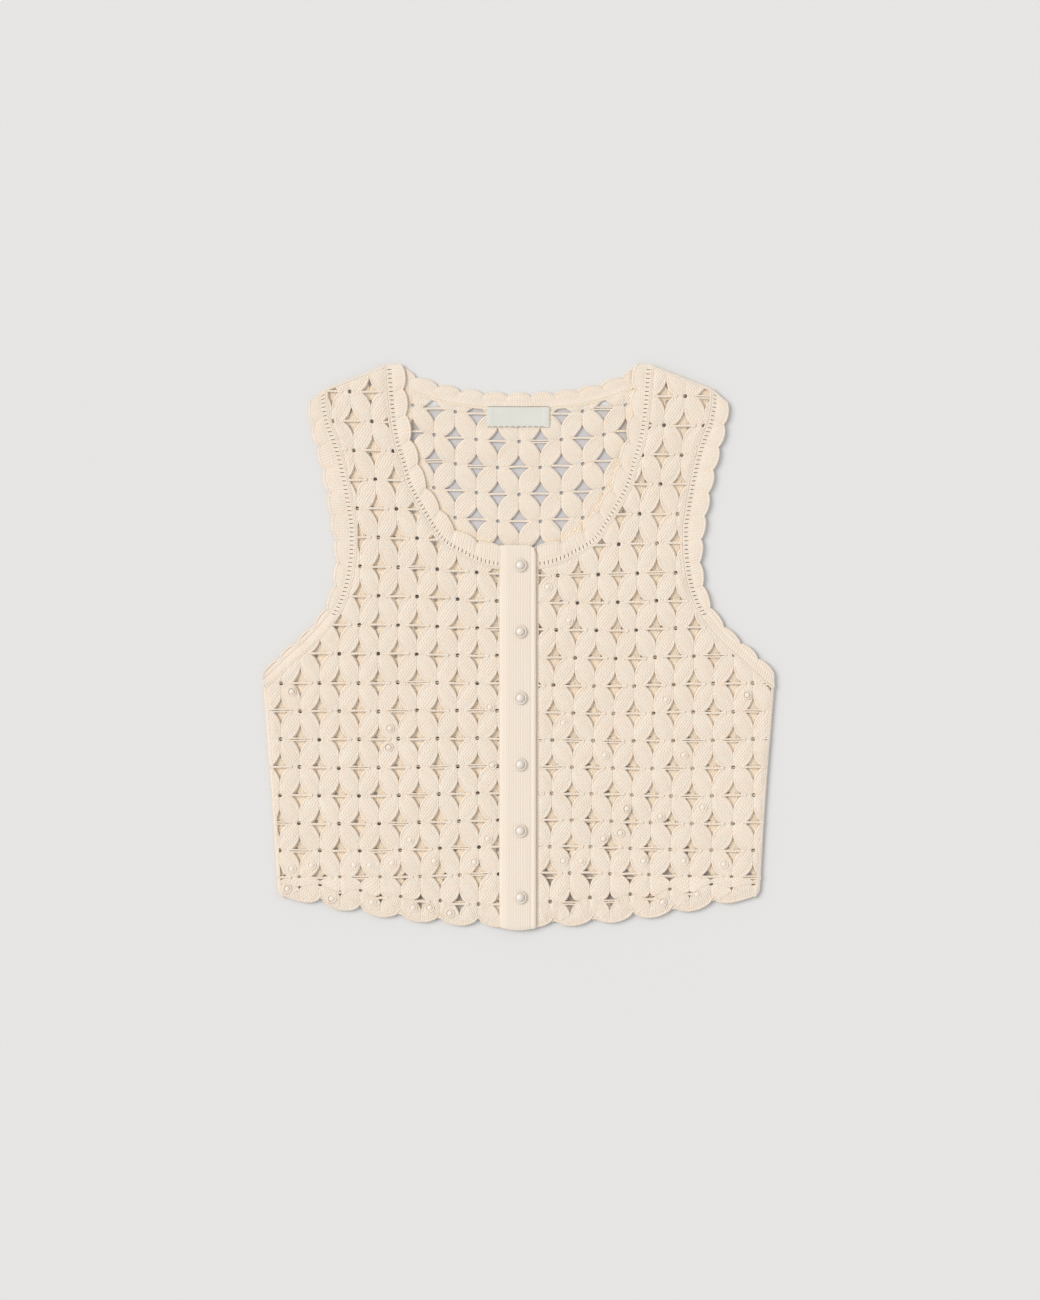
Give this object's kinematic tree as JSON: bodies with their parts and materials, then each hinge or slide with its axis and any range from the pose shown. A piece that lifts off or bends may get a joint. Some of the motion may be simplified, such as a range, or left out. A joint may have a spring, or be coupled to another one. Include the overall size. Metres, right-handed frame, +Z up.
{
  "type": "crochet cardigan",
  "caption": "Cropped sleeveless crochet cardigan laid flat: flower lace with star gaps, scalloped bands and hem, ribbed button front with pearl buttons, bare neck label.",
  "frame": {"origin": "on the surface under the middle of the laid-out garment", "axes": "+X from the wearer's right to the wearer's left, +Y from hem to neck, +Z up out of the garment's front"},
  "size_m": [0.4592, 0.5104, 0.0104],
  "materials": {
    "lace": "matt cream cotton crochet",
    "ribbed_band": "matt cream cotton, ribbed lengthwise",
    "pearl": "pearly gloss",
    "label": "close woven, bare"
  },
  "bodies": {
    "root": {"back_panel": "lace", "right_front_panel": "lace", "left_front_panel": "lace", "back_neck_band": "lace", "right_front_neck_band": "lace", "left_front_neck_band": "lace", "right_front_armhole_band": "lace", "right_back_armhole_band": "lace", "left_front_armhole_band": "lace", "left_back_armhole_band": "lace", "buttonhole_band": "ribbed_band", "button_band": "ribbed_band", "button_1": "pearl", "button_2": "pearl", "button_3": "pearl", "button_4": "pearl", "button_5": "pearl", "button_6": "pearl", "neck_label": "label"}
  },
  "joints": []
}
